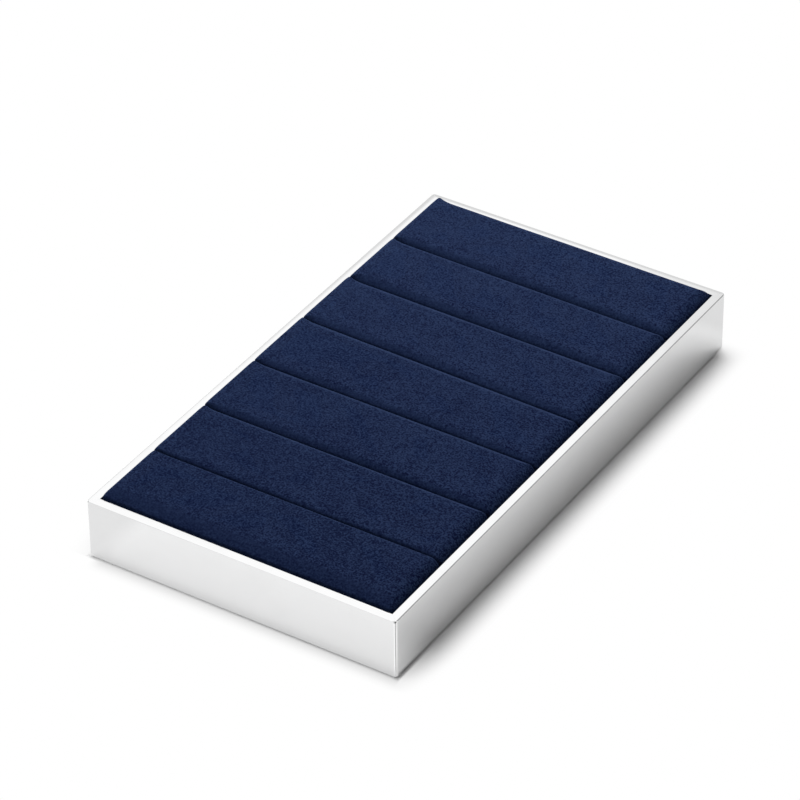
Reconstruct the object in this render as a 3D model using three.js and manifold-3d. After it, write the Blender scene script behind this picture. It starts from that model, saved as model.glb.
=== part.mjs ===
// Ring display tray: a polished frame of four mitred rails, closed below by a felted base,
// with a lift-out insert of suede-covered foam pads that grip rings in the slits between them.
// Millimetres, +Z up. The origin is on the counter, under the centre of the tray.
// X runs along the pads, Y runs across them, and the front of the tray faces -Y.

import * as THREE from "three";
import { mergeVertices } from "three/addons/utils/BufferGeometryUtils.js";
import Module from "manifold-3d";

// Frame rails
const frameWidth = 101; // along X, over the outside
const frameLength = 180; // along Y, over the outside
const frameTop = 19.4; // rim above the counter
const wallThickness = 2.8; // width of the rim
const wallLift = 0.4; // the metal stays clear of the counter by this much
const edgeBreak = 0.3; // chamfer along a rail's long edges
const cornerRadius = 0.7; // upright outer edges
const mitreGap = 0.1; // hairline seam between two rails
const ledgeReach = 6.6; // shelf inside the wall that carries the insert
const ledgeThickness = 1.4;

// Base: a felted board screwed up against the corner plates
const feltThickness = 0.8;
const boardThickness = 2;
const boardClearance = 0.3; // to the inside of the frame, all round
const boardCorner = 1.2; // plan radius of the board's and the felt's corners

// Corner plates, which tie two rails together under the ledge
const plateThickness = 1.4;
const plateLeg = 18; // along each rail, from the plate's outer corner
const plateClearance = 0.3; // to the inside of the walls
const plateSetback = 0.9; // the plate stops this far behind the edge of the ledge
const plateCorner = 0.8; // plan radius of a leg's end
const screwEndMargin = 6; // screw centre from the end of a leg

// Countersunk screws: up through the board and the plate into the ledge
const screwRadius = 0.95;
const screwHeadRadius = 1.9;
const screwHeadHeight = 1;
const screwTipLength = 0.5;
const screwTipRadius = 0.45;
const screwTipSetback = 0.2; // the tip stays below the top of the ledge
const screwHeadSetback = 0.1; // the head sits below the underside of the board
const recessLength = 1.9; // cross recess in the head
const recessWidth = 0.45;
const recessDepth = 0.5;
const threadClearance = 0.1; // screw to ledge
const holeClearance = 0.2; // screw to plate and board

// Lift-out insert
const insertClearance = 0.3; // to the inside of the frame, all round
const insertBoardThickness = 2;
const insertBoardCorner = 1.5;

// Suede-covered pads on the insert board
const padCount = 7;
const padGap = 0.3; // slit between two pads, closed until a ring spreads it
const padProud = 2; // top of the pads above the rim
const padFall = 1.7; // from the flat top down to the upright sides
const padFallWidth = 2.9; // over which the top arches down to them
const padCorner = 1.4; // plan radius of the upright edges
const coverThickness = 0.7; // suede on its backing
const coverClearance = 0.3; // suede to foam

// Facets
const roundSteps = 16; // round holes and screws
const cornerSteps = 4; // quarter turn of a plan corner
const fallSteps = 6; // from a pad's sides to its top
const cutMargin = 1; // how far a cutter runs past what it cuts
const weld = 1e-4; // vertices closer than this are one

// Levels above the counter, from the felt up
const boardTop = feltThickness + boardThickness;
const ledgeUnderside = boardTop + plateThickness;
const ledgeTop = ledgeUnderside + ledgeThickness;
const insertBoardTop = ledgeTop + insertBoardThickness;
const padHeight = frameTop + padProud - insertBoardTop;

// Inside of the frame, and what fits in it
const openWidth = frameWidth - 2 * wallThickness;
const openLength = frameLength - 2 * wallThickness;
const boardWidth = openWidth - 2 * boardClearance;
const boardLength = openLength - 2 * boardClearance;
const insertWidth = openWidth - 2 * insertClearance;
const insertLength = openLength - 2 * insertClearance;
const padPitch = (insertLength + padGap) / padCount;
const padDepth = padPitch - padGap;
const padArcRadius = (padFallWidth ** 2 + padFall ** 2) / (2 * padFall);

// Corner plates under the ledge, and their screws: along the rail from its outer end,
// and inwards from its outer face
const plateWidth = ledgeReach - plateClearance - plateSetback;
const screwReach = plateLeg - screwEndMargin;
const screwAlong = wallThickness + plateClearance + screwReach;
const screwInward = wallThickness + plateClearance + plateWidth / 2;
const screwLength = ledgeTop - screwTipSetback - feltThickness - screwHeadSetback;

const quarterTurn = Math.PI / 2;

// Finishes
function finish(color, roughness, metalness) {
  return new THREE.MeshStandardMaterial({ color, roughness, metalness });
}

const polishedMetal = finish(0xe4e5e6, 0.1, 1);
const platedSteel = finish(0xb9babb, 0.35, 1);
const blackScrew = finish(0x3a3b3d, 0.4, 1);
const fibreboard = finish(0x8a6f52, 0.85, 0);
const blackFelt = finish(0x1b1c1f, 0.95, 0);
const greyboard = finish(0x77726b, 0.9, 0);
const paleFoam = finish(0xd9d6cf, 0.9, 0);
const navySuede = finish(0x20304f, 0.95, 0);

// Joins and cuts of closed meshes
const wasm = await Module();
wasm.setup();

function solidOf(geometry) {
  const bare = geometry.clone();
  bare.deleteAttribute("normal");
  bare.deleteAttribute("uv");
  const merged = mergeVertices(bare, weld);
  const vertProperties = new Float32Array(merged.attributes.position.array);
  const triVerts = new Uint32Array(merged.index.array);
  return new wasm.Manifold(new wasm.Mesh({ numProp: 3, vertProperties, triVerts }));
}

function geometryOf(solid) {
  const mesh = solid.getMesh();
  const geometry = new THREE.BufferGeometry();
  geometry.setAttribute("position", new THREE.BufferAttribute(mesh.vertProperties, 3));
  geometry.setIndex(new THREE.BufferAttribute(mesh.triVerts, 1));
  geometry.computeVertexNormals();
  return geometry;
}

// An upright prism of a plan outline, from one level to another
function prism(outline, bottom, top) {
  const options = { depth: top - bottom, bevelEnabled: false, curveSegments: cornerSteps };
  return new THREE.ExtrudeGeometry(outline, options).translate(0, 0, bottom);
}

function roundedRectangle(width, length, radius) {
  const x = width / 2;
  const y = length / 2;
  const outline = new THREE.Shape();
  outline.moveTo(-x + radius, -y);
  outline.absarc(x - radius, -y + radius, radius, -quarterTurn, 0);
  outline.absarc(x - radius, y - radius, radius, 0, quarterTurn);
  outline.absarc(-x + radius, y - radius, radius, quarterTurn, 2 * quarterTurn);
  outline.absarc(-x + radius, -y + radius, radius, 2 * quarterTurn, 3 * quarterTurn);
  return outline;
}

// An upright round cutter, from one level to another
function roundCutter(x, y, radius, bottom, top) {
  const cutter = new THREE.CylinderGeometry(radius, radius, top - bottom, roundSteps);
  return solidOf(cutter.rotateX(quarterTurn).translate(x, y, (bottom + top) / 2));
}

// A closed surface through level rings of equally many points, with a fan over each end
function loft(rings, bottomCentre, topCentre) {
  const count = rings[0].length;
  const points = [...rings.flat(), bottomCentre, topCentre];
  const bottom = points.length - 2;
  const top = points.length - 1;
  const lastRing = (rings.length - 1) * count;
  const faces = [];
  for (let i = 0; i < count; i++) {
    const next = (i + 1) % count;
    faces.push(bottom, next, i);
    faces.push(top, lastRing + i, lastRing + next);
    for (let ring = 0; ring < lastRing; ring += count) {
      faces.push(ring + i, ring + next, ring + count + next);
      faces.push(ring + i, ring + count + next, ring + count + i);
    }
  }
  const geometry = new THREE.BufferGeometry().setFromPoints(points);
  geometry.setIndex(faces);
  geometry.computeVertexNormals();
  return geometry;
}

// Frame: each rail is drawn along X with its outer face on y = 0, and turned to its side of the tray

function railProfile() {
  const ledgeEdge = wallThickness + ledgeReach;
  const profile = new THREE.Shape();
  profile.moveTo(edgeBreak, wallLift);
  profile.lineTo(wallThickness, wallLift);
  profile.lineTo(wallThickness, ledgeUnderside);
  profile.lineTo(ledgeEdge, ledgeUnderside);
  profile.lineTo(ledgeEdge, ledgeTop);
  profile.lineTo(wallThickness, ledgeTop);
  profile.lineTo(wallThickness, frameTop - edgeBreak);
  profile.lineTo(wallThickness - edgeBreak, frameTop);
  profile.lineTo(edgeBreak, frameTop);
  profile.lineTo(0, frameTop - edgeBreak);
  profile.lineTo(0, wallLift + edgeBreak);
  profile.closePath();
  return profile;
}

// The rail's profile carried along its length, each end sloped inwards at 45 degrees
function mitredBar(length) {
  const bar = new THREE.ExtrudeGeometry(railProfile(), { depth: 2, bevelEnabled: false });
  const position = bar.attributes.position;
  const setback = mitreGap * Math.SQRT1_2;
  for (let i = 0; i < position.count; i++) {
    const inward = position.getX(i);
    const level = position.getY(i);
    const end = position.getZ(i) - 1;
    position.setXYZ(i, end * (length / 2 - inward - setback), inward, level);
  }
  return solidOf(bar);
}

// Outline that rounds the two upright outer edges of a rail
function railEnds(length) {
  const x = length / 2;
  const depth = wallThickness + ledgeReach + cutMargin;
  const outline = new THREE.Shape();
  outline.moveTo(x, depth);
  outline.lineTo(-x, depth);
  outline.absarc(-x + cornerRadius, cornerRadius, cornerRadius, 2 * quarterTurn, 3 * quarterTurn);
  outline.absarc(x - cornerRadius, cornerRadius, cornerRadius, -quarterTurn, 0);
  return solidOf(prism(outline, 0, frameTop + cutMargin));
}

function rail(length) {
  let solid = mitredBar(length).intersect(railEnds(length));
  for (const side of [-1, 1]) {
    const x = side * (length / 2 - screwAlong);
    const radius = screwRadius + threadClearance;
    const top = ledgeTop + cutMargin;
    solid = solid.subtract(roundCutter(x, screwInward, radius, ledgeUnderside - cutMargin, top));
  }
  return geometryOf(solid);
}

// Corner plate: two equal legs along +X and +Y, from its outer corner at the origin
function cornerPlate() {
  const outline = new THREE.Shape();
  outline.moveTo(0, 0);
  outline.lineTo(plateLeg - plateCorner, 0);
  outline.absarc(plateLeg - plateCorner, plateCorner, plateCorner, -quarterTurn, 0);
  outline.absarc(plateLeg - plateCorner, plateWidth - plateCorner, plateCorner, 0, quarterTurn);
  outline.lineTo(plateWidth, plateWidth);
  outline.absarc(plateWidth - plateCorner, plateLeg - plateCorner, plateCorner, 0, quarterTurn);
  outline.absarc(plateCorner, plateLeg - plateCorner, plateCorner, quarterTurn, 2 * quarterTurn);
  outline.closePath();
  const radius = screwRadius + holeClearance;
  const along = roundCutter(screwReach, plateWidth / 2, radius, -cutMargin, plateThickness + cutMargin);
  const across = roundCutter(plateWidth / 2, screwReach, radius, -cutMargin, plateThickness + cutMargin);
  return geometryOf(solidOf(prism(outline, 0, plateThickness)).subtract(along).subtract(across));
}

// Countersunk screw standing on its head at the origin
function cornerScrew() {
  const profile = [
    [0, 0],
    [screwHeadRadius, 0],
    [screwRadius, screwHeadHeight],
    [screwRadius, screwLength - screwTipLength],
    [screwTipRadius, screwLength],
    [0, screwLength],
  ].map(([radius, level]) => new THREE.Vector2(radius, level));
  let solid = solidOf(new THREE.LatheGeometry(profile, roundSteps).rotateX(quarterTurn));
  for (const [x, y] of [[recessLength, recessWidth], [recessWidth, recessLength]]) {
    solid = solid.subtract(solidOf(new THREE.BoxGeometry(x, y, 2 * recessDepth)));
  }
  return geometryOf(solid);
}

// Base board with a countersunk hole for each screw, its underside on z = 0
function baseBoard(screwPlaces) {
  const sink = [
    [0, -cutMargin],
    [screwHeadRadius + holeClearance, -cutMargin],
    [screwHeadRadius + holeClearance, screwHeadSetback],
    [screwRadius + holeClearance, screwHeadHeight + screwHeadSetback],
    [screwRadius + holeClearance, boardThickness + cutMargin],
    [0, boardThickness + cutMargin],
  ].map(([radius, level]) => new THREE.Vector2(radius, level));
  const cutter = new THREE.LatheGeometry(sink, roundSteps).rotateX(quarterTurn);
  let solid = solidOf(prism(roundedRectangle(boardWidth, boardLength, boardCorner), 0, boardThickness));
  for (const { x, y } of screwPlaces) solid = solid.subtract(solidOf(cutter.clone().translate(x, y, 0)));
  return geometryOf(solid);
}

// Pads: a bar with upright sides that arches over to a flat top, its foot on z = 0

function padRing(halfLength, halfDepth, radius, level) {
  const corners = [[1, 1], [-1, 1], [-1, -1], [1, -1]];
  return corners.flatMap(([sx, sy], corner) =>
    Array.from({ length: cornerSteps + 1 }, (_, step) => {
      const angle = (corner + step / cornerSteps) * quarterTurn;
      const x = sx * (halfLength - radius) + radius * Math.cos(angle);
      const y = sy * (halfDepth - radius) + radius * Math.sin(angle);
      return new THREE.Vector3(x, y, level);
    }),
  );
}

// The pad's form drawn in from its outside, and lengthened below its foot.
// Its arcs keep their centres, and its corners get smaller but never shrink to nothing.
function padForm(inset, foot) {
  const corner = padCorner ** 2 / (padCorner + inset);
  const top = padHeight - inset;
  const radius = padArcRadius - inset;
  const width = padFallWidth - inset;
  const steepest = Math.asin(width / radius);
  const ringAt = (drawn, level) =>
    padRing(insertWidth / 2 - inset - drawn, padDepth / 2 - inset - drawn, corner, level);
  const rings = [ringAt(0, -foot)];
  for (let step = 0; step <= fallSteps; step++) {
    const angle = steepest * (1 - step / fallSteps);
    rings.push(ringAt(width - radius * Math.sin(angle), top - radius * (1 - Math.cos(angle))));
  }
  return loft(rings, new THREE.Vector3(0, 0, -foot), new THREE.Vector3(0, 0, top));
}

function suedeCover() {
  return geometryOf(solidOf(padForm(0, 0)).subtract(solidOf(padForm(coverThickness, cutMargin))));
}

function foamCore() {
  return padForm(coverThickness + coverClearance, 0);
}

// Assembly

const tray = new THREE.Group();
const frame = new THREE.Group();
const insert = new THREE.Group();
tray.add(frame, insert);

function place(group, name, geometry, material, x, y, z, turn = 0) {
  const mesh = new THREE.Mesh(geometry, material);
  mesh.name = name;
  mesh.position.set(x, y, z);
  mesh.rotation.z = turn;
  group.add(mesh);
}

// Rails, anticlockwise from the front
const crossRail = rail(frameWidth);
const sideRail = rail(frameLength);
place(frame, "front_rail", crossRail, polishedMetal, 0, -frameLength / 2, 0);
place(frame, "right_rail", sideRail, polishedMetal, frameWidth / 2, 0, 0, quarterTurn);
place(frame, "back_rail", crossRail, polishedMetal, 0, frameLength / 2, 0, 2 * quarterTurn);
place(frame, "left_rail", sideRail, polishedMetal, -frameWidth / 2, 0, 0, 3 * quarterTurn);

// Corners, anticlockwise from the front left
const corners = [
  { name: "front_left", sx: -1, sy: -1 },
  { name: "front_right", sx: 1, sy: -1 },
  { name: "back_right", sx: 1, sy: 1 },
  { name: "back_left", sx: -1, sy: 1 },
];
const plate = cornerPlate();
const screw = cornerScrew();
const screwPlaces = [];
corners.forEach(({ name, sx, sy }, index) => {
  const x = sx * (openWidth / 2 - plateClearance);
  const y = sy * (openLength / 2 - plateClearance);
  place(frame, `corner_plate_${name}`, plate, platedSteel, x, y, boardTop, index * quarterTurn);
  const onCrossRail = { x: sx * (frameWidth / 2 - screwAlong), y: sy * (frameLength / 2 - screwInward) };
  const onSideRail = { x: sx * (frameWidth / 2 - screwInward), y: sy * (frameLength / 2 - screwAlong) };
  const head = feltThickness + screwHeadSetback;
  place(frame, `screw_${name}_cross`, screw, blackScrew, onCrossRail.x, onCrossRail.y, head);
  place(frame, `screw_${name}_side`, screw, blackScrew, onSideRail.x, onSideRail.y, head);
  screwPlaces.push(onCrossRail, onSideRail);
});

const felt = prism(roundedRectangle(boardWidth, boardLength, boardCorner), 0, feltThickness);
place(frame, "base_board", baseBoard(screwPlaces), fibreboard, 0, 0, feltThickness);
place(frame, "underside_felt", felt, blackFelt, 0, 0, 0);

const insertPlan = roundedRectangle(insertWidth, insertLength, insertBoardCorner);
const insertBoard = prism(insertPlan, 0, insertBoardThickness);
place(insert, "insert_board", insertBoard, greyboard, 0, 0, ledgeTop);

// Pads, from the front to the back
const cover = suedeCover();
const core = foamCore();
for (let row = 0; row < padCount; row++) {
  const y = (row - (padCount - 1) / 2) * padPitch;
  place(insert, `foam_core_${row + 1}`, core, paleFoam, 0, y, insertBoardTop);
  place(insert, `suede_cover_${row + 1}`, cover, navySuede, 0, y, insertBoardTop);
}

export default tray;
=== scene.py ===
# Ring display tray: polished metal frame with a lift-out insert of navy suede pads
import math

import bpy
import numpy as np
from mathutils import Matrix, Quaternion, Vector


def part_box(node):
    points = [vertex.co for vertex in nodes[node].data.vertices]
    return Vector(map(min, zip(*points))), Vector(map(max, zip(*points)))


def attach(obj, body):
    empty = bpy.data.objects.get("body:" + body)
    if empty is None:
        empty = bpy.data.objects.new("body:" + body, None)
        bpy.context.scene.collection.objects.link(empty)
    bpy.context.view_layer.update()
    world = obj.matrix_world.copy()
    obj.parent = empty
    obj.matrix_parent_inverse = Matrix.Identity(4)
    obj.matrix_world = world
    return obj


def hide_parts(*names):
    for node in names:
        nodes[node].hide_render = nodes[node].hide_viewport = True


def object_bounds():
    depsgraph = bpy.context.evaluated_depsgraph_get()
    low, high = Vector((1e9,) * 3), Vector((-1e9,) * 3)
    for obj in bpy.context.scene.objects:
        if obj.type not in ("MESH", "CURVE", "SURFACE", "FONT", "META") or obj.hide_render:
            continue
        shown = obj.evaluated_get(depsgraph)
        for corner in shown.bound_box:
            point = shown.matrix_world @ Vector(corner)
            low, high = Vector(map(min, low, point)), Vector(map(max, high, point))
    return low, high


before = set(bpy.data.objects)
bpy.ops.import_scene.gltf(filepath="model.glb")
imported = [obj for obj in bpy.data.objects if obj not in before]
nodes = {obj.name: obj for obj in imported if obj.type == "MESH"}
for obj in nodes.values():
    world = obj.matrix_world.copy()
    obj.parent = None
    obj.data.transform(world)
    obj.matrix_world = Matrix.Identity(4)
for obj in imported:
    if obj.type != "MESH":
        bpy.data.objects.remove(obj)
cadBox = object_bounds()
mm = 0.001
print("frame loaded,", len(nodes), "nodes")


# materials: sockets as Python values

class Wire:
    # an output socket; sums, products and powers of wires add Math nodes
    def __init__(self, paint, socket):
        self.paint = paint
        self.socket = socket

    def math(self, operation, first, second=0.0):
        return self.paint.add("ShaderNodeMath", {"operation": operation}, {0: first, 1: second})

    def __add__(self, other):
        return self.math("ADD", self, other)

    def __radd__(self, other):
        return self.math("ADD", other, self)

    def __sub__(self, other):
        return self.math("SUBTRACT", self, other)

    def __rsub__(self, other):
        return self.math("SUBTRACT", other, self)

    def __mul__(self, other):
        return self.math("MULTIPLY", self, other)

    def __rmul__(self, other):
        return self.math("MULTIPLY", other, self)

    def __pow__(self, other):
        return self.math("POWER", self, other)

    def __abs__(self):
        return self.math("ABSOLUTE", self)


class Paint:
    # node tree of one material, or of the world
    def __init__(self, tree):
        self.tree = tree
        tree.nodes.clear()

    def add(self, kind, settings=None, sockets=None, out=0):
        node = self.tree.nodes.new(kind)
        for name, value in (settings or {}).items():
            setattr(node, name, value)
        for name, value in (sockets or {}).items():
            if isinstance(value, Wire):
                self.tree.links.new(value.socket, node.inputs[name])
            else:
                node.inputs[name].default_value = value
        return Wire(self, node.outputs[out]) if node.outputs else None

    def objectCoords(self):
        return self.add("ShaderNodeTexCoord", out="Object")

    def uvCoords(self):
        return self.add("ShaderNodeTexCoord", out="UV")

    # single axes of a vector, such as "XY"
    def axes(self, coords, names):
        return [self.add("ShaderNodeSeparateXYZ", None, {0: coords}, name) for name in names]

    def rays(self, *names):
        return [self.add("ShaderNodeLightPath", out=name) for name in names]

    # a value that the piece's mesh keeps for each of its points
    def mark(self, name):
        return self.add("ShaderNodeAttribute", {"attribute_name": name}, out="Fac")

    def stretch(self, coords, scale, turn=0.0):
        return self.add("ShaderNodeMapping", None, {"Vector": coords, "Scale": scale, "Rotation": (0, 0, turn)})

    # noise with grains of about `size` metres, 0 to 1
    def noise(self, coords, size, detail=2.0, rough=0.5, bend=0.0):
        sockets = {"Vector": coords, "Scale": 1 / size, "Detail": detail, "Roughness": rough, "Distortion": bend}
        return self.add("ShaderNodeTexNoise", None, sockets, "Fac")

    # 0 below low, 1 above high, smooth in between
    def smooth(self, value, low, high):
        sockets = {"Value": value, "From Min": low, "From Max": high}
        return self.add("ShaderNodeMapRange", {"interpolation_type": "SMOOTHSTEP"}, sockets)

    def larger(self, first, second):
        return self.add("ShaderNodeMath", {"operation": "MAXIMUM"}, {0: first, 1: second})

    def mixColor(self, share, first, second):
        return self.add("ShaderNodeMix", {"data_type": "RGBA"}, {0: share, 6: first, 7: second}, 2)

    def bump(self, height, distance, strength=1.0, normal=None):
        sockets = {"Height": height, "Distance": distance, "Strength": strength}
        if normal:
            sockets["Normal"] = normal
        return self.add("ShaderNodeBump", None, sockets)

    def surface(self, sockets):
        shader = self.add("ShaderNodeBsdfPrincipled", None, sockets)
        self.add("ShaderNodeOutputMaterial", None, {"Surface": shader})


def newMaterial(name, recipe, settings):
    material = bpy.data.materials.new(name)
    material.use_nodes = True
    recipe(Paint(material.node_tree), settings)
    return material


def rgb(color, gain=1.0):
    return tuple(c * gain for c in color) + (1.0,)


# meshes from numpy arrays

def meshPiece(name, points, faces, body, material, uv=None, sharp=(), marks=None):
    mesh = bpy.data.meshes.new(name)
    mesh.from_pydata(points, [], faces)
    if len(sharp):  # edges between two of these points
        pairs = np.zeros(len(mesh.edges) * 2, np.int32)
        mesh.edges.foreach_get("vertices", pairs)
        mesh.edges.foreach_set("use_edge_sharp", np.isin(pairs.reshape(-1, 2), sharp).all(1))
    if uv is not None:
        layer = mesh.uv_layers.new(name="surface")
        layer.data.foreach_set("uv", uv.astype(np.float32).ravel())
    for mark, values in (marks or {}).items():
        layer = mesh.attributes.new(mark, "FLOAT", "POINT")
        layer.data.foreach_set("value", values.astype(np.float32).ravel())
    mesh.polygons.foreach_set("use_smooth", np.ones(len(mesh.polygons), bool))
    mesh.materials.append(material)
    mesh.update()
    piece = bpy.data.objects.new(name, mesh)
    bpy.context.scene.collection.objects.link(piece)
    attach(piece, body)
    return piece


# quads of a grid with rows x columns points, optionally closed along the columns
def gridFaces(rows, columns, closed=False):
    index = np.arange(rows * columns).reshape(rows, columns)
    if closed:
        index = np.c_[index, index[:, :1]]
    a, b, c, d = index[:-1, :-1], index[:-1, 1:], index[1:, 1:], index[1:, :-1]
    return np.stack([a, b, c, d], -1).reshape(-1, 4)


# camera, floor and light

cameraSet = {
    "place": (0.53959, -0.84536, 0.75137),
    "aim": (-0.01655, 0.01732, 0),  # on the counter
    "roll": -0.619,  # degrees
    "lens": 196.6,
    "sensor": 36,
    "clip": (0.05, 20),
}


def makeCamera(s):
    data = bpy.data.cameras.new("camera")
    data.lens, data.sensor_width = s["lens"], s["sensor"]
    data.clip_start, data.clip_end = s["clip"]
    camera = bpy.data.objects.new("camera", data)
    look = Vector(s["aim"]) - Vector(s["place"])
    turn = look.to_track_quat("-Z", "Y") @ Quaternion((0, 0, 1), math.radians(s["roll"]))
    camera.location, camera.rotation_mode, camera.rotation_quaternion = s["place"], "QUATERNION", turn
    bpy.context.scene.collection.objects.link(camera)
    bpy.context.scene.camera = camera


lightSet = {
    "lamps": [  # degrees from +X and from the floor, metres, watts
        {"name": "panel", "azimuth": 139, "elevation": 65, "distance": 0.62, "size": 0.8, "power": 3.2},
        {"name": "rear", "azimuth": 108, "elevation": 40, "distance": 0.45, "size": 0.3, "power": 0.65},
        {"name": "front", "azimuth": 220, "elevation": 42, "distance": 1.0, "size": 0.7, "power": 3.6},
    ],
    "fill": 0.1,  # sky that lights the object
    # sky in the metal: white above one edge and to the left of another, greyer beyond, dark on the right, with a
    # black flag behind on the right, which draws a line along the rim's edge
    "gloss": {
        "white": 1.04,
        "grey": 0.7,
        "dark": 0.52,
        "flag": 0.2,
        "above": (0.546, 0.56),
        "left": (-0.40, -0.37),
        "right": (-0.2, 0.1),
        "flagRight": (0.22, 0.36),
        "flagBack": (0.45, 0.6),
    },
}


def makeLamp(s):
    up, bearing = math.radians(s["elevation"]), math.radians(s["azimuth"])
    toward = Vector((math.cos(bearing) * math.cos(up), math.sin(bearing) * math.cos(up), math.sin(up)))
    lamp = bpy.data.lights.new(s["name"], "AREA")
    lamp.shape, lamp.size, lamp.energy = "SQUARE", s["size"], s["power"]
    box = bpy.data.objects.new(s["name"], lamp)
    box.location = toward * s["distance"]
    box.rotation_mode = "QUATERNION"
    box.rotation_quaternion = (-toward).to_track_quat("-Z", "Y")
    box.visible_camera = box.visible_glossy = False  # the metal mirrors the sky instead
    bpy.context.scene.collection.objects.link(box)


def makeLight(s):
    scene = bpy.context.scene
    for lamp in s["lamps"]:
        makeLamp(lamp)
    world = bpy.data.worlds.new("studio")
    scene.world = world
    world.use_nodes = True
    world.cycles.sampling_method = "NONE"
    paint = Paint(world.node_tree)
    camera, glossy, through, bounced = paint.rays("Is Camera Ray", "Is Glossy Ray", "Is Transmission Ray",
                                                  "Diffuse Depth")
    # only metal that is seen directly mirrors the bright sky, so contact shadows stay dark
    mirror = paint.larger(glossy, through) * (1 - paint.smooth(bounced, 0.2, 0.8))
    x, y, z = paint.axes(paint.add("ShaderNodeTexCoord", out="Generated"), "XYZ")
    g = s["gloss"]
    panel = paint.smooth(z, *g["above"]) * (1 - paint.smooth(x, *g["left"]))
    right = paint.smooth(x, *g["right"])
    flag = paint.smooth(x, *g["flagRight"]) * paint.smooth(y, *g["flagBack"])
    bright = g["grey"] + (g["white"] - g["grey"]) * panel
    bright = bright - (g["grey"] - g["dark"]) * right - (g["dark"] - g["flag"]) * flag
    sky = s["fill"] + mirror * (bright - s["fill"])
    strength = sky + camera * (1 - sky)
    shine = paint.add("ShaderNodeBackground", None, {"Color": (1, 1, 1, 1), "Strength": strength})
    paint.add("ShaderNodeOutputWorld", None, {"Surface": shine})
    scene.view_settings.view_transform = "Standard"


floorSet = {
    "half": 4.0,  # metres
    "color": (0.93, 0.93, 0.93),
    "foot": (0.0505, 0.09),  # half sizes of the tray on the floor
    "fade": (-0.0005, 0.0102),  # the shadow thins out to white over this distance
    "front": 0.0045,  # and starts this much earlier in front
    "frontLine": (-0.0004, 0.0007),  # but not on the line where tray and floor meet
    "early": (0.022, 0.3),  # along this much of the sides it starts earlier too, at this slope
    "sideLine": (0.0001, 0.0013),  # but not on the line there
    "backEnd": (0.0835, 0.0935),  # along y, where the right side's shadow ends
    "backEdge": (-0.0105, -0.0045),  # to the right of this, counted from the right face
    "leftEnd": (-0.05, -0.0455),  # along x, where the front's shadow ends
    "leftLine": (0.0004, 0.001),  # beyond the line where tray and floor meet
    # painted white glow that only the metal mirrors: shares of it, places along x and y, and levels of white
    "mirrored": {
        "front": 0.62,
        "corner": (0.0495, 0.0515),  # all white to the right of this, in front of the upright edge
        "turn": (-0.0405, -0.0365),  # as far back as this value of x + y
        "beside": 0.12,
        "besideAlong": (-0.07, 0.03),  # it thins out along the side
        "besideAcross": (0.0, 0.006),  # and starts at this distance from it
        "behind": 0.8,
        "behindAlong": (0.088, 0.1),
        "behindLevel": 0.73,
        "leftAlong": (-0.053, -0.044),
        "leftLevel": 0.8,
    },
}


# pale floor: it keeps the shadow close to the tray, turns white further off, and is clear from below
def floorPaint(paint, s):
    x, y = paint.axes(paint.objectCoords(), "XY")
    width, length = s["foot"]
    reach, slope = s["early"]
    ahead = -length - y  # distance in front of the tray
    aside = paint.larger(abs(x) - width, 0.0)
    early = (reach - length - y) * slope * paint.smooth(aside, *s["sideLine"])
    shifted = s["front"] - length - y
    front = paint.larger(paint.larger(shifted, early), 0.0)
    along = paint.larger(shifted * paint.smooth(ahead, *s["frontLine"]), early)
    along = paint.larger(paint.larger(along, abs(y) - length), 0.0)
    distance = (aside * aside + along * along) ** 0.5
    edgeStart, edgeStop = s["backEdge"]
    backEnd = paint.smooth(y, *s["backEnd"]) * paint.smooth(x, width + edgeStart, width + edgeStop)
    leftEnd = (1 - paint.smooth(x, *s["leftEnd"])) * paint.smooth(ahead, *s["leftLine"])
    seen = 1 - (1 - paint.smooth(distance, *s["fade"])) * (1 - backEnd) * (1 - leftEnd)

    m = s["mirrored"]
    corner = paint.smooth(x, *m["corner"]) * (1 - paint.smooth(x + y, *m["turn"]))
    inFront = (m["front"] + (1 - m["front"]) * corner) * paint.smooth(front, *s["fade"])
    beside = m["beside"] * (1 - paint.smooth(y, *m["besideAlong"])) * paint.smooth(aside, *m["besideAcross"])
    behind = paint.smooth(y, *m["behindAlong"])
    left = (1 - paint.smooth(x, *m["leftAlong"])) * (1 - behind)
    camera, glossy = paint.rays("Is Camera Ray", "Is Glossy Ray")
    white = camera * seen + glossy * (inFront + beside + m["behind"] * behind)
    level = 1 - glossy * ((1 - m["leftLevel"]) * left + (1 - m["behindLevel"]) * behind)

    matt = paint.add("ShaderNodeBsdfDiffuse", None, {"Color": rgb(s["color"])})
    glow = paint.add("ShaderNodeEmission", None, {"Color": level, "Strength": 1.0})
    top = paint.add("ShaderNodeMixShader", None, {0: white, 1: matt, 2: glow})
    clear = paint.add("ShaderNodeBsdfTransparent")
    below = paint.add("ShaderNodeNewGeometry", out="Backfacing")
    both = paint.add("ShaderNodeMixShader", None, {0: below, 1: top, 2: clear})
    paint.add("ShaderNodeOutputMaterial", None, {"Surface": both})


def makeFloor(s):
    line = np.linspace(-s["half"], s["half"], 3)
    x, y = np.meshgrid(line, line)
    mesh = bpy.data.meshes.new("floor")
    mesh.from_pydata(np.stack([x, y, 0 * x], -1).reshape(-1, 3), [], gridFaces(3, 3))
    mesh.materials.append(newMaterial("pale_floor", floorPaint, s))
    floor = bpy.data.objects.new("floor", mesh)
    bpy.context.scene.collection.objects.link(floor)


makeCamera(cameraSet)
makeLight(lightSet)
makeFloor(floorSet)
print("camera, light and floor made")


# frame rails

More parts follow.
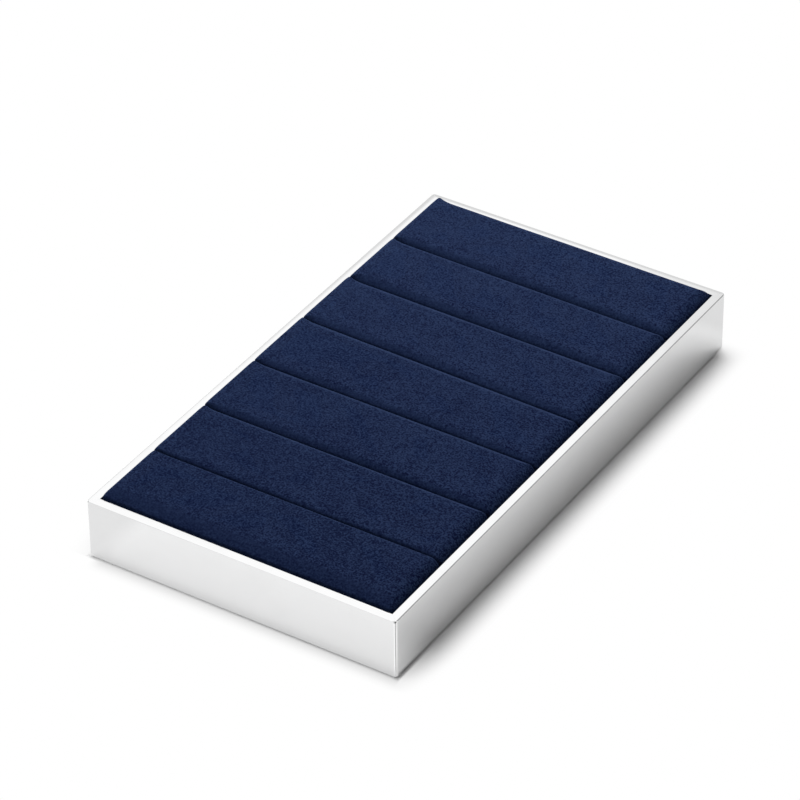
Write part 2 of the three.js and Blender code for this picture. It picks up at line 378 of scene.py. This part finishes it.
railSet = {
    "wall": 2.8 * mm,
    "lift": 0.4 * mm,
    "ledge": (4.2 * mm, 5.6 * mm),  # underside and top
    "reach": 6.6 * mm,
    "edge": 0.12 * mm,  # rounding of the long edges
    "rimEdge": 0.32 * mm,  # of the rim's outer edge
    "inner": 0.4,  # and in the two corners at the ledge, as a share of the edges'
    "arc": 6,  # points of a rounding
    "hold": 0.1,  # one more point stands this share of a rounding beside it
    "rim": 6,  # points across the rim
    "skirt": (0.45, 0.6, 1.0),  # mm below the rim: points that keep the outer face flat
    # rims are buffed lower towards their edges by this much
    "crown": {"front": 0.034 * mm, "right": 0, "back": 0.034 * mm, "left": 0.034 * mm},
    "corner": 0.9 * mm,  # rounding of the upright outer edges
    # seam at the mitre: half its width, the share of it at the rim, and the depths between which it opens
    "seam": (0.085 * mm, 0.05, 0.06 * mm, 0.34 * mm),
    "nick": (0.3 * mm, 0.3 * mm, 0.28 * mm),  # worn spot just below the rim: depth, place and reach
    "ends": (0, 0.07, 0.15, 0.24, 0.35, 0.48, 0.64, 0.85, 1.2, 2, 4),  # mm from either end: stations along a rail
    "middle": (8 * mm, 31),  # margin and number of those between
    "metal": {
        "color": (0.95, 0.952, 0.955),
        "rough": (0.07, 0.15),
        "smudge": 0.02,
        "wave": 0.03,
        "streak": (0.04, 0.0004),  # length and width of the polishing lines
        "depth": (0.000002, 0.00003),  # of the lines and the waves
    },
}


# outline (inwards, level) of square corners, each turned as an arc of its own radius between the points
# where it touches the two sides; one more point beside each arc keeps the flats flat
def roundedOutline(corners, rounds, hold, steps):
    corners, rounds = np.array(corners), np.array(rounds)[:, None]
    before, after = np.roll(corners, 1, 0) - corners, np.roll(corners, -1, 0) - corners
    before /= np.linalg.norm(before, axis=1, keepdims=True)
    after /= np.linalg.norm(after, axis=1, keepdims=True)
    centre = corners + rounds * (before + after)
    turn = np.linspace(0, np.pi / 2, steps)[None, :, None]
    arc = centre[:, None] - rounds[:, None] * (after[:, None] * np.cos(turn) + before[:, None] * np.sin(turn))
    first = corners + (rounds + hold) * before
    last = corners + (rounds + hold) * after
    return np.concatenate([first[:, None], arc, last[:, None]], 1).reshape(-1, 2)


# one rail along x with its outer face on y = 0: the outline is carried along stations that shrink towards the
# inside, so both ends lie on the mitre; the upright outer edge is a square drawn in to a quarter circle
def railSurface(length, top, crown, s):
    e, wall, tip = s["edge"], s["wall"], s["wall"] + s["reach"]
    under, over = s["ledge"]
    corners = [(0, s["lift"]), (wall, s["lift"]), (wall, under), (tip, under), (tip, over),
               (wall, over), (wall, top), (0, top)]
    inner = e * s["inner"]
    outline = roundedOutline(corners, [e, e, inner, e, e, inner, e, s["rimEdge"]], s["hold"] * e, s["arc"])
    last = s["arc"] + 2  # points at the rim's outer edge
    rim = np.linspace(outline[-last - 1], outline[-last], s["rim"] + 2)[1:-1]
    skirt = [(0, top - drop * mm) for drop in s["skirt"]]
    outline = np.r_[outline[:-last], rim, outline[-last:], skirt]
    outline[:, 1] -= np.where(outline[:, 1] > top - e, crown * (2 * outline[:, 0] / wall - 1) ** 2, 0)
    inward, level = outline[None, :, 0], outline[None, :, 1]
    seam, least, closed, parted = s["seam"]
    nick, place, reach = s["nick"]
    gap = seam * np.clip((top - level - closed) / (parted - closed), least, 1)
    gap = gap + nick * np.clip(1 - np.abs(top - level - place) / reach, 0, 1) * (inward < s["corner"])
    half = length / 2 - gap
    close = np.array(s["ends"]) * mm
    margin, count = s["middle"]
    share = np.r_[close, np.linspace(margin, length - margin, count), length - close[::-1]] / length * 2 - 1
    x = share[:, None] * (half - inward)
    y = np.broadcast_to(inward, x.shape)
    dx, dy = np.abs(x) - half + s["corner"], s["corner"] - y
    inCorner = (dx > 0) & (dy > 0)
    pull = np.where(inCorner, np.maximum(dx, dy) / np.maximum(np.hypot(dx, dy), 1e-9), 1)
    x = np.where(inCorner, np.sign(x) * (half - s["corner"] + dx * pull), x)
    y = np.where(inCorner, s["corner"] - dy * pull, y)
    points = np.stack([x, y, np.broadcast_to(level, x.shape)], -1)
    rows, columns = x.shape
    quads = gridFaces(rows, columns, closed=True)
    ends = [np.arange(columns)[::-1], np.arange(columns) + (rows - 1) * columns]
    step = np.linalg.norm(np.diff(outline, axis=0, append=outline[:1]), axis=1)
    u, v = share * length / 2, np.r_[0, np.cumsum(step)]
    uv = np.stack(np.meshgrid(u, v, indexing="ij"), -1)
    uvQuads = np.stack([uv[:-1, :-1], uv[:-1, 1:], uv[1:, 1:], uv[1:, :-1]], -2).reshape(-1, 2)
    uvEnd = outline + length / 2
    faces = quads.tolist() + [end.tolist() for end in ends]
    return points.reshape(-1, 3), faces, np.r_[uvQuads, uvEnd[::-1], uvEnd]


# mirror-bright metal with faint polishing lines, wipe marks and a slight waviness
def metalPaint(paint, s):
    place = paint.objectCoords()
    lines = paint.uvCoords()
    length, width = s["streak"]
    streak = paint.noise(paint.stretch(lines, (1 / length, 1 / width, 1)), 1.0, 3.0)
    smudge = paint.smooth(paint.noise(place, s["smudge"], 4.0, 0.6, 0.6), 0.35, 0.75)
    low, high = s["rough"]
    rough = low + (high - low) * (smudge * 0.6 + streak * 0.4)
    color = paint.mixColor(smudge * 0.5 + streak * 0.2, rgb(s["color"]), rgb(s["color"], 0.96))
    wave = paint.noise(place, s["wave"], 1.0)
    lineDepth, waveDepth = s["depth"]
    normal = paint.bump(streak, lineDepth, 0.5, paint.bump(wave, waveDepth, 0.6))
    paint.surface({"Base Color": color, "Metallic": 1.0, "Roughness": rough, "Normal": normal})


def makeRails(s):
    metal = newMaterial("polished_metal", metalPaint, s["metal"])
    low, high = cadBox
    width, length = high.x - low.x, high.y - low.y
    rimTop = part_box("front_rail")[1].z
    sides = [("front", width, length, 0), ("right", length, width, 90), ("back", width, length, 180),
             ("left", length, width, 270)]
    for name, along, across, degrees in sides:
        points, faces, uv = railSurface(along, rimTop, s["crown"][name], s)
        c, n = math.cos(math.radians(degrees)), math.sin(math.radians(degrees))
        x, y = points[:, 0], points[:, 1] - across / 2
        placed = np.stack([c * x - n * y, n * x + c * y, points[:, 2]], -1)
        piece = meshPiece("rail_" + name, placed, faces, "frame", metal, uv,
                          sharp=faces[-2] + faces[-1])
        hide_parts(name + "_rail")


makeRails(railSet)
print("rails made")


# suede pads on foam bars

padSet = {
    "gap": 0.5 * mm,  # between two pads
    # the pads' tops arch down to the walls and slits in falls
    "left": (1.8, 1.6, 1.3, 1.2, 1.5, 2.0, 2.0),  # mm, front to back: width and drop of the fall at the left wall
    "right": (3.9 * mm, 2.4 * mm),  # width and drop at the right wall
    "leftTouch": 0.2 * mm,  # the left ends press towards the wall
    # front wall, six slits, back wall: shift at the left and right end, width and drop of the falls there in mm,
    # and the share by which those falls narrow towards the left wall
    "edges": [(0.15, 0.15, 6.0, 1.25, 0), (-0.3, -0.2, 1.1, 0.58, 0.88), (-0.15, -0.15, 2.3, 1.15, 0.88),
              (0.25, 0.05, 2.3, 0.9, 0.88), (0.75, -1.15, 2.7, 1.05, 0.88), (0.5, -0.2, 2.9, 1.4, 0.88),
              (-0.6, -1.6, 2.4, 1.45, 0.88), (0.25, 0, 2.7, 1.8, 0.88)],
    "pinch": 6 * mm,  # they narrow over this length
    "crestHighlight": (0.02 * mm, 0.2 * mm),  # depth over which the painted highlight comes in at the back edge
    "frontFall": (0.01 * mm, 0.16 * mm),  # depth over which the painted shade comes in at the front edge
    "corner": 0.7 * mm,  # plan radius
    "sides": (0, 0.4, 0.72, 0.9),  # rings up the sides, as shares of their height
    "arc": 12,  # rings over a fall
    "grid": (72, 14),  # steps over the flat top
    "thickness": 0.7 * mm,
    "uneven": 0.05 * mm,
    "waves": (6, 60, 190),  # of the unevenness: how many, fewest and most radians for a metre
    "seed": 40,
    "swell": {"scale": 10, "pressure": 4.0, "frames": 20, "start": 0.08 * mm, "cap": 0.12 * mm},
    "suede": {
        "grain": 0.00055,  # size of the nap's grains
        "mottle": 0.0032,  # of patches
        "brushed": 0.022,  # and of brushed areas
        "mix": (0.74, 0.22, 0.12, 0.1),  # how much grains, clumps, patches and brushed areas count
        "ruffled": (0.8, 0.4),  # contrast at the left, and how much it gains to the right
        "across": (-0.05, 0.05),  # between these places along x
        "backLight": 0.035,  # painted light: lighter towards the back, where the lamps stand
        "along": (-0.1, 0.1),  # between these places along y
        "tone": (-0.1155, 0.1495),  # from deep to light
        "tips": (0.58, 0.74),
        "pileShare": 0.5,  # share of the lighter pile that shows at the tips and as the painted crest highlight
        "depth": (0.00006, 0.0001),  # of grains and patches
        "deep": (0.0004, 0.0026, 0.0212),
        "light": (0.0178, 0.0325, 0.0842),
        "pile": (0.0260, 0.0430, 0.0960),  # lighter tips of the nap
        "fallLoss": 0.62,  # share of the grain and of the light tips taken out on the front falls, as painted shade
        "sheen": 0.14,
        "bloom": (0.22, 0.38, 1.0),
    },
    "foam": {
        "inset": 1.0 * mm,  # from the outside of the cover
        "grid": (24, 6),
        "pore": 0.0009,
        "depth": 0.0003,
        "dark": (0.50, 0.47, 0.40),
        "light": (0.72, 0.70, 0.64),
    },
}


# The pad's skin over a grid. Ring k of the grid, counted from its rim, lies on a rectangle at level[k]: first up the
# sides, then over an arc of a circle to the flat top. An arc of this width and drop has radius
# (width^2 + drop^2) / (2 drop), and at depth q below the top it is sqrt(2 radius q - q^2) wide.
# Points between two corners keep their column, and each rectangle's corners are turned to quarter circles.
def padSurface(low, high, left, front, back, s, grid):
    falls = [(left, left), s["right"], front[2:4], back[2:4]]
    deepest = max(drop for width, drop in falls)
    top = high[2] - low[2]
    up = np.array(s["sides"]) * (top - deepest)
    depth = deepest * np.linspace(1, 0, s["arc"]) ** 2
    level = np.r_[up, top - depth]
    rings = level.size - 1

    def inset(width, drop):
        radius = (width ** 2 + drop ** 2) / (2 * drop)
        q = np.minimum(np.r_[0 * up + drop, depth], drop)
        return width - np.sqrt(2 * radius * q - q ** 2)

    left, right, ahead, behind = (inset(*fall) for fall in falls)
    columns, rows = 2 * rings + grid[0] + 1, 2 * rings + grid[1] + 1
    i, j = np.meshgrid(np.arange(columns), np.arange(rows), indexing="ij")
    a, b = np.minimum(i, columns - 1 - i), np.minimum(j, rows - 1 - j)
    k = np.minimum(np.minimum(a, b), rings)

    # place along one side: ring lines at both ends, even steps between the innermost ones
    def along(step, count, first, last):
        total = 2 * rings + count
        start, stop = first(rings), last(rings)
        flat = start + (stop - start) * (step - rings) / count
        near = first(k) + (start - first(k)) * (step - k) / np.maximum(rings - k, 1)
        far = last(k) + (stop - last(k)) * (total - step - k) / np.maximum(rings - k, 1)
        return np.where(step < rings, near, np.where(step > total - rings, far, flat))

    def x0(ring):
        return low[0] + left[ring]

    def x1(ring):
        return high[0] - right[ring]

    def y0(ring):
        return front[0] + (front[1] - front[0]) * share + ahead[ring] * (1 - front[4] * pinched)

    def y1(ring):
        return back[0] + (back[1] - back[0]) * share - behind[ring] * (1 - back[4] * pinched)

    x = along(i, grid[0], x0, x1)
    share = (x - low[0]) / (high[0] - low[0])
    near = np.clip(1 - (x - low[0]) / s["pinch"], 0, 1)
    pinched = near ** 2 * (3 - 2 * near)
    y = along(j, grid[1], y0, y1)
    plan = s["corner"]
    sx, sy = np.where(i < columns / 2, -1, 1), np.where(j < rows / 2, -1, 1)
    cx, cy = np.where(sx < 0, x0(k) + plan, x1(k) - plan), np.where(sy < 0, y0(k) + plan, y1(k) - plan)
    dx, dy = (x - cx) * sx, (y - cy) * sy
    inCorner = (dx > 0) & (dy > 0)
    pull = np.where(inCorner, np.maximum(dx, dy) / np.maximum(np.hypot(dx, dy), 1e-9), 1)
    x, y = cx + sx * dx * pull, cy + sy * dy * pull

    # how far down one of the two long edges a point lies, for the painted crest highlight and the painted shade on
    # the front falls
    def fallShare(side, start, stop):
        return np.where((b == k) & side, np.clip((top - level[k] - start) / (stop - start), 0, 1), 0).T

    # shares for the painted highlight on the back crest and the painted shade on the front fall
    marks = {"crestHighlight": fallShare(j > rows / 2, *s["crestHighlight"]), "frontFall": fallShare(j < rows / 2, *s["frontFall"])}
    return np.stack([x, y, low[2] + level[k]], -1).transpose(1, 0, 2), (k / rings).T, marks


# points of a grid's rim, counterclockwise from above
def rimLoop(rows, columns):
    index = np.arange(rows * columns).reshape(rows, columns)
    return np.r_[index[0], index[1:, -1], index[-1, -2::-1], index[-2:0:-1, 0]]


# cloth simulation: the cover, drawn larger, is blown up with its foot held, and a point that wants to move by d
# moves by d cap / (cap + |d|)
def swollen(points, faces, foot, s):
    scene = bpy.context.scene
    mesh = bpy.data.meshes.new("trial")
    mesh.from_pydata(points * s["scale"], [], faces)
    trial = bpy.data.objects.new("trial", mesh)
    scene.collection.objects.link(trial)
    trial.vertex_groups.new(name="foot").add(foot.tolist(), 1.0, "REPLACE")
    cloth = trial.modifiers.new("cloth", "CLOTH")
    cloth.point_cache.frame_start, cloth.point_cache.frame_end = 1, s["frames"]
    cloth.settings.vertex_group_mass = "foot"
    cloth.settings.use_pressure = True
    cloth.settings.uniform_pressure_force = s["pressure"]
    cloth.settings.effector_weights.gravity = 0
    for step in range(1, s["frames"] + 1):
        scene.frame_set(step)
    result = trial.evaluated_get(bpy.context.evaluated_depsgraph_get()).data
    moved = np.zeros(points.size)
    result.vertices.foreach_get("co", moved)
    shift = moved.reshape(-1, 3) / s["scale"] - points
    size = np.linalg.norm(shift, axis=1, keepdims=True)
    print("cover swelled by up to %.2f mm before the cap" % (size.max() / mm))
    bpy.data.objects.remove(trial)
    bpy.data.meshes.remove(mesh)
    scene.frame_set(1)
    return points + shift * s["cap"] / (s["cap"] + size)


# napped suede: light tips over a dark ground, brushed patches, a painted highlight on each back crest, painted shade
# on the falls in front of a slit, painted light towards the back, and a sheen where it is seen aslant
def suedePaint(paint, s):
    place = paint.objectCoords()
    nap = paint.noise(place, s["grain"], 2.0, 0.6, 0.3)
    clump = paint.noise(place, s["grain"] * 2, 1.0, 0.5, 0.4)
    mottle = paint.noise(place, s["mottle"], 3.0, 0.6, 0.8)
    brushed = paint.noise(paint.stretch(place, (1, 2.2, 1), 0.5), s["brushed"], 2.0, 0.5, 1.2)
    x, y = paint.axes(place, "XY")
    # less grain and fewer light tips on the front falls: painted shade, a little darker there
    outsideFall = 1 - s["fallLoss"] * paint.mark("frontFall")
    least, gain = s["ruffled"]
    ruffled = (least + gain * paint.smooth(x, *s["across"])) * outsideFall
    a, b, c, d = s["mix"]
    tone = (nap - 0.5) * a + (clump - 0.5) * b + (mottle - 0.5) * c + (brushed - 0.5) * d
    # painted light: the colour grows lighter towards the back, where the lamps stand
    tone = tone * ruffled + paint.smooth(y, *s["along"]) * s["backLight"]
    ground = paint.mixColor(paint.smooth(tone, *s["tone"]), rgb(s["deep"]), rgb(s["light"]))
    tips = paint.smooth(paint.noise(place, s["grain"] * 0.7, 2.0, 0.7), *s["tips"])
    # pile colour at random tips, plus a painted highlight along each pad's back crest
    pileAndHighlight = tips * s["pileShare"] * outsideFall + paint.mark("crestHighlight") * s["pileShare"]
    color = paint.mixColor(pileAndHighlight, ground, rgb(s["pile"]))
    napDepth, mottleDepth = s["depth"]
    normal = paint.bump(nap, napDepth, 0.5, paint.bump(mottle, mottleDepth, 0.25))
    paint.surface({"Base Color": color, "Roughness": 0.95, "Specular IOR Level": 0.1, "Normal": normal,
                   "Sheen Weight": s["sheen"], "Sheen Roughness": 0.45, "Sheen Tint": rgb(s["bloom"])})


# open foam: pale cell walls, with the pores painted darker as their shade
def foamPaint(paint, s):
    place = paint.objectCoords()
    cells = paint.add("ShaderNodeTexVoronoi", None, {"Vector": place, "Scale": 1 / s["pore"]}, "Distance")
    cloud = paint.noise(place, s["pore"] * 12, 2.0)
    pore = paint.smooth(cells, 0.15, 0.6)
    # the pores' darker colour is painted shade
    color = paint.mixColor(pore * 0.8 + cloud * 0.2, rgb(s["dark"]), rgb(s["light"]))
    normal = paint.bump(pore, s["depth"], 0.6)
    paint.surface({"Base Color": color, "Roughness": 0.95, "Specular IOR Level": 0.2, "Normal": normal})


def makePads(s):
    suede = newMaterial("navy_suede", suedePaint, s["suede"])
    foam = newMaterial("pale_foam", foamPaint, s["foam"])
    count = len(s["left"])
    numbers = range(1, count + 1)
    boxes = [[np.array(corner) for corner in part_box("suede_cover_%d" % n)] for n in numbers]
    slits = [(a[1][1] + b[0][1]) / 2 for a, b in zip(boxes, boxes[1:])]
    walls = np.array([boxes[0][0][1]] + slits + [boxes[-1][1][1]])
    edges = np.array(s["edges"]) * (mm, mm, mm, mm, 1)
    edges[:, :2] += walls[:, None]
    slack = np.r_[0, np.full(count - 1, s["gap"] / 2), 0]
    for number, (low, high), left in zip(numbers, boxes, np.array(s["left"]) * mm):
        front, back = edges[number - 1].copy(), edges[number].copy()
        front[:2] += slack[number - 1]
        back[:2] -= slack[number]
        low[0] -= s["leftTouch"]

        inset = s["foam"]["inset"]
        inner = np.array([inset, inset, 0, 0, 0])
        bar = padSurface(low + (inset, 0, 0), high - (inset, 0, inset), left, front + inner, back - inner, s,
                         s["foam"]["grid"])[0]
        rows, columns = bar.shape[:2]
        faces = gridFaces(rows, columns).tolist() + [rimLoop(rows, columns)[::-1].tolist()]
        core = meshPiece("foam_bar_%d" % number, bar.reshape(-1, 3), faces, "insert", foam)
        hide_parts("foam_core_%d" % number)

        skin, share, marks = padSurface(low, high, left, front, back, s, s["grid"])
        rows, columns = skin.shape[:2]
        faces = gridFaces(rows, columns)
        rng = np.random.default_rng(s["seed"] + number)
        many, fewest, most = s["waves"]
        waves = rng.uniform(fewest, most, (many, 2)) * rng.choice([-1, 1], (many, 2))
        phase = rng.uniform(0, 6.28, many)
        swing = sum(np.sin(w[0] * skin[..., 0] + w[1] * skin[..., 1] + p) for w, p in zip(waves, phase)) / 3
        onTop = np.clip(share * 2 - 0.8, 0, 1)  # the sides stay even
        skin[..., 2] += (s["uneven"] * swing - s["swell"]["start"]) * onTop
        points = skin.reshape(-1, 3)
        points = swollen(points, faces, rimLoop(rows, columns), s["swell"])
        marks["crestHighlight"] *= number < count  # the last pad ends at the wall, so no painted highlight there
        cover = meshPiece("suede_pad_%d" % number, points, faces, "insert", suede, marks=marks)
        shell = cover.modifiers.new("thickness", "SOLIDIFY")
        shell.thickness, shell.offset = s["thickness"], -1
        fine = cover.modifiers.new("fine", "SUBSURF")
        fine.levels = fine.render_levels = 1
        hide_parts("suede_cover_%d" % number)


makePads(padSet)
print("pads made")


# felt under the base board

feltSet = {
    "grid": (48, 88),
    "fuzz": 0.05 * mm,  # unevenness of the underside
    "edge": 0.15 * mm,  # the border is drawn up by this much
    "seed": 7,
    "fibre": 0.0007,
    "depth": 0.0002,
    "deep": (0.006, 0.006, 0.007),
    "light": (0.026, 0.026, 0.030),
}


# matted fibres in two crossing directions
def feltPaint(paint, s):
    place = paint.objectCoords()
    first = paint.noise(paint.stretch(place, (1, 0.25, 1), 0.6), s["fibre"], 3.0, 0.6, 1.0)
    second = paint.noise(paint.stretch(place, (0.25, 1, 1), 0.6), s["fibre"], 3.0, 0.6, 1.0)
    lint = paint.smooth(paint.noise(place, s["fibre"] * 1.5, 1.0, 0.5, 2.0), 0.68, 0.76)
    color = paint.mixColor(paint.smooth(first * 0.5 + second * 0.5, 0.35, 0.65), rgb(s["deep"]), rgb(s["light"]))
    color = paint.mixColor(lint * 0.3, color, rgb(s["light"], 2.5))
    normal = paint.bump(first, s["depth"], 0.6, paint.bump(second, s["depth"], 0.6))
    paint.surface({"Base Color": color, "Roughness": 0.98, "Specular IOR Level": 0.1, "Normal": normal,
                   "Sheen Weight": 0.05, "Sheen Roughness": 0.5, "Sheen Tint": (0.8, 0.85, 1.0, 1.0)})


# closed loops across x, flat above and uneven below, carried along y
def makeFelt(s):
    low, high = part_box("underside_felt")
    columns, rows = s["grid"]
    x, y = np.meshgrid(np.linspace(low.x, high.x, columns), np.linspace(low.y, high.y, rows))
    rim = np.zeros(x.shape, bool)
    rim[[0, -1]] = rim[:, [0, -1]] = True
    fuzz = np.random.default_rng(s["seed"]).uniform(0, s["fuzz"], x.shape)
    above = np.stack([x, y, 0 * x + high.z], -1)
    below = np.stack([x, y, low.z + np.where(rim, s["edge"], fuzz)], -1)
    points = np.concatenate([above, below[:, ::-1]], 1).reshape(-1, 3)
    loop = np.arange(2 * columns)
    ends = [loop[::-1].tolist(), (loop + (rows - 1) * 2 * columns).tolist()]
    faces = gridFaces(rows, 2 * columns, closed=True).tolist() + ends
    sharp = np.flatnonzero(np.concatenate([rim, rim[:, ::-1]], 1).ravel())
    felt = newMaterial("black_felt", feltPaint, s)
    piece = meshPiece("felt_sheet", points, faces, "frame", felt, sharp=sharp)
    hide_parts("underside_felt")


makeFelt(feltSet)
print("felt made")


# boards, plates and screws keep their solids and get a finish

boardSet = {
    "fibreboard": {"nodes": "base_board", "dark": (0.20, 0.122, 0.062), "light": (0.37, 0.24, 0.13),
                   "fleck": (0.12, 0.07, 0.035), "fibre": 0.0014},
    "greyboard": {"nodes": "insert_board", "dark": (0.145, 0.13, 0.115), "light": (0.225, 0.205, 0.18),
                  "fleck": (0.34, 0.31, 0.27), "fibre": 0.0009},
}
steelSet = {
    "plated_steel": {"nodes": "corner_plate_", "color": (0.6, 0.6, 0.61), "rough": (0.26, 0.42), "wear": 1.12,
                     "scratch": 0.012, "rubbed": 0.005},
    "black_steel": {"nodes": "screw_", "color": (0.045, 0.046, 0.05), "rough": (0.38, 0.55), "wear": 2.2,
                    "scratch": 0.012, "rubbed": 0.005},
}


# pressed fibres with clouds and flecks
def boardPaint(paint, s):
    place = paint.objectCoords()
    fibre = paint.noise(paint.stretch(place, (1, 0.35, 1)), s["fibre"], 4.0, 0.65, 0.5)
    cloud = paint.noise(place, s["fibre"] * 14, 2.0)
    fleck = paint.smooth(paint.noise(place, s["fibre"] * 0.6, 1.0), 0.66, 0.72)
    tone = paint.smooth(fibre * 0.7 + cloud * 0.3, 0.36, 0.64)
    color = paint.mixColor(fleck * 0.5, paint.mixColor(tone, rgb(s["dark"]), rgb(s["light"])), rgb(s["fleck"]))
    paint.surface({"Base Color": color, "Roughness": 0.85, "Specular IOR Level": 0.25,
                   "Normal": paint.bump(fibre, 0.0001, 0.5)})


# steel with fine scratches and rubbed patches
def steelPaint(paint, s):
    place = paint.objectCoords()
    scratch = paint.noise(paint.stretch(place, (1, 40, 1), 0.3), s["scratch"], 3.0)
    rubbed = paint.smooth(paint.noise(place, s["rubbed"], 4.0, 0.6, 0.8), 0.5, 0.75)
    low, high = s["rough"]
    color = paint.mixColor(rubbed * 0.6, rgb(s["color"]), rgb(s["color"], s["wear"]))
    paint.surface({"Base Color": color, "Metallic": 1.0, "Roughness": low + (high - low) * scratch,
                   "Normal": paint.bump(scratch, 0.000004, 0.5)})


def paintNodes(finishes, recipe):
    for slot, s in finishes.items():
        material = newMaterial(slot, recipe, s)
        for name in nodes:
            if name.startswith(s["nodes"]):
                nodes[name].material_slots[0].material = material


paintNodes(boardSet, boardPaint)
paintNodes(steelSet, steelPaint)
print("boards and steel painted")
